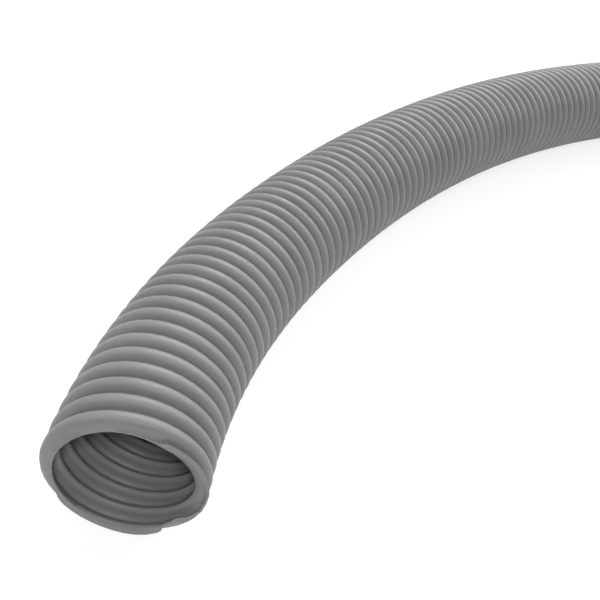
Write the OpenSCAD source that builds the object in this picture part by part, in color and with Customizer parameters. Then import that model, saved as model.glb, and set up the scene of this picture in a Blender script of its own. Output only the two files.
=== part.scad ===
// Corrugated conduit: one length of thin ribbed plastic tube that keeps the bend of its coil.
// The origin is the middle of the near cut end, on the tube's axis. The near end faces -Y,
// the tube lies in the XY plane and bends towards +X, and +Z is up.

/* [Tube] */
// Diameter over the ridges (mm)
outer_diameter = 50; // [40:1:63]
// Thickness of the plastic (mm)
wall = 0.7; // [0.5:0.1:0.9]

/* [Ridges] */
// Distance from one ridge to the next along the axis (mm)
pitch = 6; // [6:0.1:8]
// Width of a ridge along the axis (mm)
ridge_width = 5; // [4.4:0.1:5]
// Height of a ridge over the groove beside it (mm)
ridge_height = 3.8; // [3:0.1:4.2]

/* [Run] */
// Length along the axis, which is cut at the last groove before it (mm)
length = 1000; // [400:10:1200]
// Bend radius of the axis at the near end (mm)
near_bend_radius = 198; // [190:1:600]
// Length over which the near bend opens out into the long sweep (mm)
fade_length = 150; // [20:1:200]
// Straight run at the far end (mm)
straight_tail = 200; // [10:10:200]
// Turn from the near end to the far end (degrees)
total_turn = 90; // [50:5:100]

/* [Detail] */
// Facets round a curve in the preview; the exact solid ignores it
preview_facets = 48; // [24:4:96]

/* [Hidden] */
$fn = preview_facets;
r_ridge = outer_diameter / 2;
r_groove = r_ridge - ridge_height;
r_bore = r_groove - wall;
floor_length = pitch - ridge_width;
ridges = floor(length / pitch);
run = ridges * pitch;

// Across the wall, a ridge is a half round on two straight legs, with the same inside it.
half_width = ridge_width / 2;
r_round = r_ridge - half_width;
// The flats of the hollow's half round are cheaper to draw than a true arc, and nobody sees them.
hollow_sides = 12;
// The legs end a little over the groove, and the rounded corner into the bore starts there.
corner_rise = 0.1;
r_corner = r_groove + corner_rise;

// Heading of the axis, in degrees, at the distance s from the near end.
bend_near = 180 / PI / near_bend_radius;
sweep_length = run - straight_tail;
bend_sweep = (total_turn - bend_near * fade_length / 2) / (sweep_length - fade_length / 2);
function fade(s) = s < fade_length ? s - s * s / (2 * fade_length) : fade_length / 2;
function heading(s) = bend_sweep * min(s, sweep_length) + (bend_near - bend_sweep) * fade(s);

// The tube gives at its groove floors. Every floor that gives turns the axis by one step,
// and the ridges between two such floors stand in one straight stretch.
largest_step = 1.8;
turn_step = total_turn / ceil(total_turn / largest_step);
steps = [for (i = [0 : ridges - 1]) round(heading((i + 0.5) * pitch) / turn_step)];
first_ridges = [for (i = [0 : ridges - 1]) if (i == 0 || steps[i] != steps[i - 1]) i];
stretches = len(first_ridges);
function heads(k) = steps[first_ridges[k]] * turn_step;
function count(k) = (k + 1 < stretches ? first_ridges[k + 1] : ridges) - first_ridges[k];
// Start [x, y] of every stretch.
places = [
  for (k = 0, p = [0, 0]; k < stretches;
       p = p + count(k) * pitch * [sin(heads(k)), cos(heads(k))], k = k + 1) p
];

// A groove floor reaches this far into the leg of the ridge on either side.
grip = 0.5;
// The inner edge of a leg ends this far above the bore, so the floor's edge covers it.
edge_rise = 0.05;
// How far a cutting shape stands past what it cuts.
spare = 1;

// Half round of the given size on the x axis, on legs that reach down to x = -leg.
module arch(half, leg, sides) {
  intersection() {
    circle(half, $fn = sides);
    translate([0, -half - spare]) square([half + spare, 2 * (half + spare)]);
  }
  translate([-leg, -half]) square([leg, 2 * half]);
}

// The rounded corner between a ridge's leg and the bore, on the +Y side of the ridge.
module corner_section() {
  polygon([
    [r_corner, half_width - wall],
    [r_corner, half_width],
    [r_bore + edge_rise, half_width],
    [r_corner - wall * sin(45), half_width - wall * cos(45)],
  ]);
}

// Section of one ridge, whose middle is on the x axis: x is the distance from the tube's axis.
module ridge_section() {
  leg = r_round - r_corner;
  translate([r_round, 0]) difference() {
    arch(half_width, leg, preview_facets);
    arch(half_width - wall, leg + spare, hollow_sides);
  }
  corner_section();
  mirror([0, 1]) corner_section();
}

// Section of a groove floor with y from a to b.
module floor_section(a, b) {
  translate([r_bore, a]) square([wall, b - a]);
}

// Stretch k, from the origin along +Y. The floors at its ends are left to the sleeves, apart
// from the half floor at a cut end of the tube.
module stretch(k) {
  n = count(k);
  half = floor_length / 2;
  rotate([-90, 0, 0]) rotate_extrude() {
    for (i = [0 : n - 1]) translate([0, (i + 0.5) * pitch]) ridge_section();
    if (n > 1) for (i = [1 : n - 1]) floor_section(i * pitch - half - grip, i * pitch + half + grip);
    if (k == 0) floor_section(0, half + grip);
    if (k == stretches - 1) floor_section(n * pitch - half - grip, n * pitch);
  }
}

// The floor that gives, at the origin, for a turn by the angle a: a tube cut to a wedge,
// whose ends are square to the two stretches that it joins.
module sleeve(a) {
  reach = (floor_length / 2 + grip) / cos(a / 2);
  side = r_groove + spare;
  slope = side * tan(a / 2);
  intersection() {
    rotate([-90, 0, 0]) difference() {
      cylinder(h = 2 * side, r = r_groove, center = true);
      cylinder(h = 2 * (side + spare), r = r_bore, center = true);
    }
    translate([0, 0, -side]) linear_extrude(2 * side)
      polygon([
        [-side, -reach - slope], [side, -reach + slope],
        [side, reach - slope], [-side, reach + slope],
      ]);
  }
}

// Frame [x, y, heading] of the floor before stretch m, and of the run of stretches a to b - 1.
function floor_pose(m) = [places[m][0], places[m][1], (heads(m - 1) + heads(m)) / 2];
function run_pose(a, b) =
  b - a == 1 ? [places[a][0], places[a][1], heads(a)] : floor_pose(floor((a + b) / 2));

// Puts what stands in its own frame into the frame around it.
module carry(own, around) {
  rotate([0, 0, around[2]]) translate([own[0] - around[0], own[1] - around[1], 0])
    rotate([0, 0, -own[2]]) children();
}

// Stretches a to b - 1 in their own frame, joined a few at a time.
at_a_time = 4;
module run_of(a, b) {
  parts = min(at_a_time, b - a);
  if (parts == 1) stretch(a);
  else {
    cuts = [for (j = [0 : parts]) a + floor((b - a) * j / parts)];
    here = run_pose(a, b);
    union() {
      for (j = [0 : parts - 1])
        carry(run_pose(cuts[j], cuts[j + 1]), here) run_of(cuts[j], cuts[j + 1]);
      for (j = [1 : parts - 1])
        carry(floor_pose(cuts[j]), here) sleeve(heads(cuts[j]) - heads(cuts[j] - 1));
    }
  }
}

module conduit() {
  color([0.5, 0.5, 0.5]) carry(run_pose(0, stretches), [0, 0, 0]) run_of(0, stretches);
}

conduit();
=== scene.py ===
# %% [markdown]
# # A length of corrugated conduit
#
# The object is one piece of stock: a ribbed plastic tube that cables are pulled through. Its wall
# is a thin skin pressed into a spiral ridge, so the tube bends by hand but doesn't squash, and a
# length cut from a coil keeps some of the coil's bend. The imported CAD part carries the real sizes,
# with a closed ring in place of each turn of the spiral. This notebook makes the spiral itself, the
# wandering knife cut at the near end, the plastic, and a plain studio around it.

import math

import bmesh
import bpy
from mathutils import Matrix, Vector


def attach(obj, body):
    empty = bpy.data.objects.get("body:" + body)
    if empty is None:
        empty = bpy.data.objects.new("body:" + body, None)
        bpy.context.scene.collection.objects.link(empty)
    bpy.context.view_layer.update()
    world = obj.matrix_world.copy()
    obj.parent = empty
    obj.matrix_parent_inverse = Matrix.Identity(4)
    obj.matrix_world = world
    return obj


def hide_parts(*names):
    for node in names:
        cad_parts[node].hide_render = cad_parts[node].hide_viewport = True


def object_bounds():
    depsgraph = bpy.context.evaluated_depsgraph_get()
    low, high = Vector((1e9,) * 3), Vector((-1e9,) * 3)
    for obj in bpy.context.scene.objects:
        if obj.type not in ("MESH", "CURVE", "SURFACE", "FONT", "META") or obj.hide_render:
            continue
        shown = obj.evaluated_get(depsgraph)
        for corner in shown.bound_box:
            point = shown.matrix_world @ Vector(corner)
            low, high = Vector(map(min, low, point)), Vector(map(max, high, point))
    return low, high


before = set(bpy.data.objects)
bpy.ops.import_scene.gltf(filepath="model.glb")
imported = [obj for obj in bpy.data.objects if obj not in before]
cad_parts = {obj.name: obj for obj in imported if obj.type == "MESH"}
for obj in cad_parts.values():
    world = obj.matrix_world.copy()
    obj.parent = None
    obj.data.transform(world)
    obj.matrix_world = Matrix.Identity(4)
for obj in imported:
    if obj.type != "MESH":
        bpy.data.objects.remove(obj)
cad_low, cad_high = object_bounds()
print("CAD box from", tuple(cad_low), "to", tuple(cad_high))

# %% [markdown]
# ## Sizes
#
# These are the sizes of a 50 mm conduit, repeated from the part's source in metres. A tube like this
# is ordered by its diameter over the ridges, because that is what its couplings slide over.

# %% Sizes of the tube
MM = 0.001
pitch = 6 * MM
turns = 166
run = turns * pitch
print(f"{turns} turns of the spiral ridge, {run:.3f} m along the axis")

# %% [markdown]
# ## The line of the axis
#
# The tube left its coil tight at the near end and opens out along its length. Its curvature is a
# long even sweep, plus a tighter bend that fades out over the first stretch, and then a straight
# run. The heading is the sum of the curvature up to a point, which has a closed form. The position
# has none, so it is added up in short steps and looked up between them.

# %% Heading and position at a distance along the axis
near_bend_radius = 198 * MM
fade_length = 150 * MM
straight_tail = 200 * MM
total_turn = math.radians(90)

sweep_length = run - straight_tail
near_curvature = 1 / near_bend_radius
sweep_curvature = (total_turn - near_curvature * fade_length / 2) / (sweep_length - fade_length / 2)


def heading(s):
    """Angle of the axis from +Y towards +X at the distance s from the near end."""
    fade = s - s * s / (2 * fade_length) if s < fade_length else fade_length / 2
    return sweep_curvature * min(s, sweep_length) + (near_curvature - sweep_curvature) * fade


axis_step = 1 * MM
axis_points = [Vector((0, 0, 0))]
for i in range(round(run / axis_step)):
    h = heading((i + 0.5) * axis_step)
    axis_points.append(axis_points[-1] + axis_step * Vector((math.sin(h), math.cos(h), 0)))


def on_axis(s):
    """Point of the axis at the distance s, straight on beyond both ends."""
    i = min(max(int(s / axis_step), 0), len(axis_points) - 1)
    h = heading(min(max(s, 0), run))
    return axis_points[i] + (s - i * axis_step) * Vector((math.sin(h), math.cos(h), 0))


print("The axis ends at", tuple(round(c, 4) for c in on_axis(run)))

# %% [markdown]
# ## The section of the wall
#
# The wall is one skin, so its outside and inside follow each other about 0.7 mm apart. Outside, broad
# round ridges stand 3.8 mm over narrow grooves. Inside it is the other way round: broad hollows, and a
# narrow bead under each groove, which leaves a clear bore of 41 mm. Each side is drawn here as the few
# points of one ridge and of the groove after it, and the same points then serve for every ridge. The
# crest is drawn 0.02 mm low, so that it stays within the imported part.

# %% Points of one ridge, as (distance along the axis, radius) in mm
outside = [
    (0.45, 21.20), (0.66, 23.10), (1.28, 24.45), (2.30, 24.98), (3.70, 24.98),
    (4.72, 24.45), (5.34, 23.10), (5.55, 21.20), (6.45, 21.20),
]
inside = [
    (0.72, 20.50), (1.22, 22.50), (2.25, 24.25), (3.75, 24.25), (4.78, 22.50), (5.28, 20.50),
    (6.72, 20.50),
]
print(f"{len(outside) - 1} facets across a ridge outside, {len(inside) - 1} inside")

# %% [markdown]
# ## The spiral
#
# A screw thread is a section that climbs by one pitch while it turns once. Blender's spin does both
# at once: it turns a line of vertices round the axis, and its dvec lifts each step a little. If the
# line already holds every ridge of the tube, one turn is enough, because the last copy of the line
# lands on the first, one ridge further on. Merging doubles then closes the seam. This needs no list
# of faces, and the ridge keeps the same section all along.

# %% A line of ridges, spun into a screw
facets_round = 42
near_groove = -6.036 * MM
weld = 0.01 * MM


def screw_skin(bm, points, count):
    """Adds one skin of the wall to bm: the points repeated for count ridges, then spun."""
    first = [bm.verts.new((r * MM, near_groove + y * MM, 0)) for y, r in points]
    ridge = first + [bm.edges.new(pair) for pair in zip(first, first[1:])]
    for i in range(1, count):
        copy = bmesh.ops.duplicate(bm, geom=ridge)["geom"]
        corners = [g for g in copy if isinstance(g, bmesh.types.BMVert)]
        bmesh.ops.translate(bm, verts=corners, vec=(0, i * pitch, 0))
    bmesh.ops.remove_doubles(bm, verts=bm.verts, dist=weld)
    bmesh.ops.spin(
        bm, geom=bm.verts[:] + bm.edges[:], cent=(0, 0, 0), axis=(0, 1, 0), angle=2 * math.pi,
        dvec=(0, pitch / facets_round, 0), steps=facets_round, use_merge=False, use_duplicate=False,
    )


def welded_screw(points, count):
    """A bmesh of one skin with its seam closed."""
    bm = bmesh.new()
    screw_skin(bm, points, count)
    bmesh.ops.remove_doubles(bm, verts=bm.verts, dist=weld)
    return bm


outer_skin = welded_screw(outside, turns + 2)
inner_skin = welded_screw(inside, turns + 2)
print(len(outer_skin.faces), "faces outside and", len(inner_skin.faces), "inside")

# %% [markdown]
# ## The two ends
#
# Such tube is cut with a knife that likes to follow the groove, so the near cut is out of square. Seen
# from in front of the mouth, it runs in a groove over the top and down the left, climbs the side of a
# ridge underneath, dips into the groove once more at the lower right, and goes over a crest on the
# right. How far the blade stood back from the foremost point is a mean and four waves round the tube,
# the first of which is its slant.
#
# bisect_plane cuts on a plane only. So every vertex is first moved along the tube by what the blade
# stood back at its angle, which lays the cut flat, and is moved back by as much after the cut. The
# far end is cut square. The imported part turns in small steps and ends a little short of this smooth
# axis, so the far cut is made as much short of the run.

# %% Cut both ends
far_cut = run - 0.4 * MM
mean_back = 2.73 * MM
# The cosine and sine parts of the waves that go once, twice, three and four times round the tube.
waves = [
    (0.03 * MM, 2.15 * MM), (0.33 * MM, 0.21 * MM),
    (0.33 * MM, -0.04 * MM), (0.15 * MM, -0.03 * MM),
]


def blade_back(vert):
    """How far back the blade stood at a vertex's angle round the tube, from +X towards +Z."""
    angle = math.atan2(vert.co.z, vert.co.x)
    swing = sum(
        a * math.cos(k * angle) + b * math.sin(k * angle)
        for k, (a, b) in enumerate(waves, start=1)
    )
    return mean_back + swing


def cut(bm, s, facing):
    """Takes away what stands in front of the square plane at the distance s along the tube."""
    bmesh.ops.bisect_plane(
        bm, geom=bm.verts[:] + bm.edges[:] + bm.faces[:], dist=weld / 10,
        plane_co=(0, s, 0), plane_no=(0, facing, 0), clear_outer=True,
    )


for skin in (outer_skin, inner_skin):
    for vert in skin.verts:
        vert.co.y -= blade_back(vert)
    cut(skin, 0, -1)
    for vert in skin.verts:
        vert.co.y += blade_back(vert)
    cut(skin, far_cut, 1)
    foremost = min(vert.co.y for vert in skin.verts)
    print(f"A skin starts {foremost / MM:.2f} mm from the near end")

# %% Join the skins and make the rims
as_mesh = bpy.data.meshes.new("skin")
inner_skin.to_mesh(as_mesh)
inner_skin.free()
wall = outer_skin
wall.from_mesh(as_mesh)
bpy.data.meshes.remove(as_mesh)

rims = []
for near in (True, False):
    open_edges = [e for e in wall.edges if e.is_boundary and (e.verts[0].co.y < run / 2) == near]
    filled = bmesh.ops.triangle_fill(
        wall, edges=open_edges, normal=(0, -1 if near else 1, 0), use_beauty=True,
    )["geom"]
    rims += [g for g in filled if isinstance(g, bmesh.types.BMFace)]
bmesh.ops.recalc_face_normals(wall, faces=wall.faces)
for face in wall.faces:
    face.smooth = True
for face in rims:
    for edge in face.edges:
        if any(other not in rims for other in edge.link_faces):
            edge.smooth = False
rim_area = sum(face.calc_area() for face in rims) / MM**2
print(f"{rim_area:.0f} mm2 of rim;", sum(e.is_boundary for e in wall.edges), "edges left open")

# %% [markdown]
# ## The bend
#
# So far the tube is straight along +Y. Every vertex has a distance along the axis and an offset from
# it, and both are kept while the straight axis is swapped for the bent one. Ridges on the inside of
# the bend close up and ridges on the outside spread, as they do on the real tube.

# %% Carry every vertex onto the bent axis
for vert in wall.verts:
    x, s, z = vert.co
    h = heading(min(max(s, 0), run))
    vert.co = on_axis(s) + x * Vector((math.cos(h), -math.sin(h), 0)) + z * Vector((0, 0, 1))

conduit_mesh = bpy.data.meshes.new("conduit_tube")
wall.to_mesh(conduit_mesh)
wall.free()
conduit_tube = bpy.data.objects.new("conduit_tube", conduit_mesh)
bpy.context.scene.collection.objects.link(conduit_tube)
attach(conduit_tube, "root")
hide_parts("conduit")
print(sum(len(p.vertices) - 2 for p in conduit_mesh.polygons), "triangles in the tube")

# %% [markdown]
# ## The plastic
#
# Grey PVC straight from the corrugator is satin, not glossy: the mould leaves it faintly uneven, so
# its highlights are soft and a little broken. Its grey varies only slightly. A fine noise drives a weak
# bump for the mould's texture, a wider one moves the roughness, and the widest the colour.

# %% Material of the tube
plastic = bpy.data.materials.new("grey_conduit_plastic")
plastic.use_nodes = True
nodes, links = plastic.node_tree.nodes, plastic.node_tree.links
shader = nodes["Principled BSDF"]
shader.inputs["IOR"].default_value = 1.5

place = nodes.new("ShaderNodeTexCoord")


def noise(scale, detail):
    """Noise on the tube's own coordinates; scale counts blotches in a metre."""
    made = nodes.new("ShaderNodeTexNoise")
    made.inputs["Scale"].default_value = scale
    made.inputs["Detail"].default_value = detail
    links.new(place.outputs["Object"], made.inputs["Vector"])
    return made.outputs["Fac"]


def spread(value, low, high):
    """Maps the middle of a noise, 0.3 to 0.7, to the range from low to high."""
    made = nodes.new("ShaderNodeMapRange")
    made.inputs["From Min"].default_value, made.inputs["From Max"].default_value = 0.3, 0.7
    made.inputs["To Min"].default_value, made.inputs["To Max"].default_value = low, high
    links.new(value, made.inputs["Value"])
    return made.outputs["Result"]


wide_blotches, gloss_blotches, mould_grain = 45, 160, 900
tint = nodes.new("ShaderNodeMix")
tint.data_type = "RGBA"
tint.inputs["A"].default_value = (0.225, 0.225, 0.226, 1)
tint.inputs["B"].default_value = (0.262, 0.262, 0.263, 1)
links.new(spread(noise(wide_blotches, 3), 0, 1), tint.inputs["Factor"])
links.new(tint.outputs["Result"], shader.inputs["Base Color"])
links.new(spread(noise(gloss_blotches, 4), 0.44, 0.56), shader.inputs["Roughness"])

bump = nodes.new("ShaderNodeBump")
bump.inputs["Strength"].default_value = 0.25
bump.inputs["Distance"].default_value = 0.15 * MM
links.new(noise(mould_grain, 3), bump.inputs["Height"])
links.new(bump.outputs["Normal"], shader.inputs["Normal"])
conduit_mesh.materials.append(plastic)
print(plastic.name, "has", len(nodes), "nodes")

# %% [markdown]
# ## Floor and light
#
# The tube lies on a white table. The table is plain white to the camera, with a little of its real
# shading left in, so that the soft shadow under the tube still shows.
#
# Most of the light comes from two large lamps high behind the bend and to its right, which pick out
# the back shoulder of every ridge and leave its front in half shade. A weak lamp on the left and an
# even white sky fill that shade. A small lamp near the line of sight shines into the mouth, which
# would be too dark without it.

# %% Floor
table_reach = 6
floor_mesh = bpy.data.meshes.new("table")
floor_maker = bmesh.new()
bmesh.ops.create_grid(floor_maker, x_segments=1, y_segments=1, size=table_reach)
bmesh.ops.translate(floor_maker, verts=floor_maker.verts, vec=(0, 0, cad_low.z))
floor_maker.to_mesh(floor_mesh)
floor_maker.free()
floor = bpy.data.objects.new("table", floor_mesh)
bpy.context.scene.collection.objects.link(floor)

table_paint = bpy.data.materials.new("white_table")
table_paint.use_nodes = True
nodes, links = table_paint.node_tree.nodes, table_paint.node_tree.links
nodes.clear()
seen = nodes.new("ShaderNodeLightPath")
either = nodes.new("ShaderNodeMath")
either.operation = "MAXIMUM"
links.new(seen.outputs["Is Camera Ray"], either.inputs[0])
links.new(seen.outputs["Is Glossy Ray"], either.inputs[1])
lit = nodes.new("ShaderNodeBsdfDiffuse")
lit.inputs["Color"].default_value = (0.8, 0.8, 0.8, 1)
shaded = nodes.new("ShaderNodeBsdfDiffuse")
shaded.inputs["Color"].default_value = (0.3, 0.3, 0.3, 1)
white = nodes.new("ShaderNodeEmission")
white.inputs["Strength"].default_value = 0.8
shown = nodes.new("ShaderNodeAddShader")
links.new(shaded.outputs[0], shown.inputs[0])
links.new(white.outputs[0], shown.inputs[1])
mixed = nodes.new("ShaderNodeMixShader")
links.new(either.outputs[0], mixed.inputs[0])
links.new(lit.outputs[0], mixed.inputs[1])
links.new(shown.outputs[0], mixed.inputs[2])
out = nodes.new("ShaderNodeOutputMaterial")
links.new(mixed.outputs[0], out.inputs["Surface"])
floor_mesh.materials.append(table_paint)
print("The table lies at", round(cad_low.z, 4))

# %% Sky and lamps
world = bpy.data.worlds.new("studio")
world.use_nodes = True
world.node_tree.nodes["Background"].inputs["Color"].default_value = (1, 1, 1, 1)
world.node_tree.nodes["Background"].inputs["Strength"].default_value = 0.28
bpy.context.scene.world = world


def lamp(name, place, aim, size, watts):
    """A square area lamp at place that faces the point aim."""
    data = bpy.data.lights.new(name, "AREA")
    data.size, data.energy = size, watts
    made = bpy.data.objects.new(name, data)
    bpy.context.scene.collection.objects.link(made)
    made.location = place
    made.rotation_mode = "QUATERNION"
    made.rotation_quaternion = (Vector(aim) - Vector(place)).to_track_quat("-Z", "Y")
    return made


near_bend = (0.15, 0.25, 0)
in_the_mouth = (0.02, 0.03, 0)
lamp("softbox_behind", (0.1, 1.4, 1.2), near_bend, 1.0, 23)
lamp("softbox_right", (1.3, 1.1, 0.9), near_bend, 1.0, 13)
lamp("softbox_left", (-1.2, 0.2, 0.9), near_bend, 0.9, 5)
lamp("softbox_mouth", (0.08, -0.50, 0.82), in_the_mouth, 0.15, 3.4)
print(len(bpy.data.lights), "lamps and an even sky")

# %% [markdown]
# ## Camera
#
# The camera looks down on the near end from in front of the mouth, close enough that the tube shrinks
# to half its width where it leaves the frame. It is placed by the point it looks at, its distance and
# three angles: round the object, down, and the tilt of the horizon.

# %% Camera
aim_point = Vector((45.8, 94.4, 0)) * MM
distance = 277.1 * MM
azimuth, pitch_down, tilt = 0.1216, 0.7286, 0.2804
lens = 42.9

gaze = Vector((
    math.sin(azimuth) * math.cos(pitch_down),
    math.cos(azimuth) * math.cos(pitch_down),
    -math.sin(pitch_down),
))
level = Vector((math.cos(azimuth), -math.sin(azimuth), 0))
upright = level.cross(gaze)
right = math.cos(tilt) * level + math.sin(tilt) * upright
up = -math.sin(tilt) * level + math.cos(tilt) * upright

camera_data = bpy.data.cameras.new("camera")
camera_data.lens = lens
camera_data.sensor_width = 36
camera_data.clip_start, camera_data.clip_end = 0.01, 50
camera = bpy.data.objects.new("camera", camera_data)
bpy.context.scene.collection.objects.link(camera)
turned = Matrix((right, up, -gaze)).transposed().to_4x4()
camera.matrix_world = Matrix.Translation(aim_point - distance * gaze) @ turned
bpy.context.scene.camera = camera
bpy.context.scene.view_settings.view_transform = "Standard"
print("Camera at", tuple(round(c, 4) for c in camera.location))
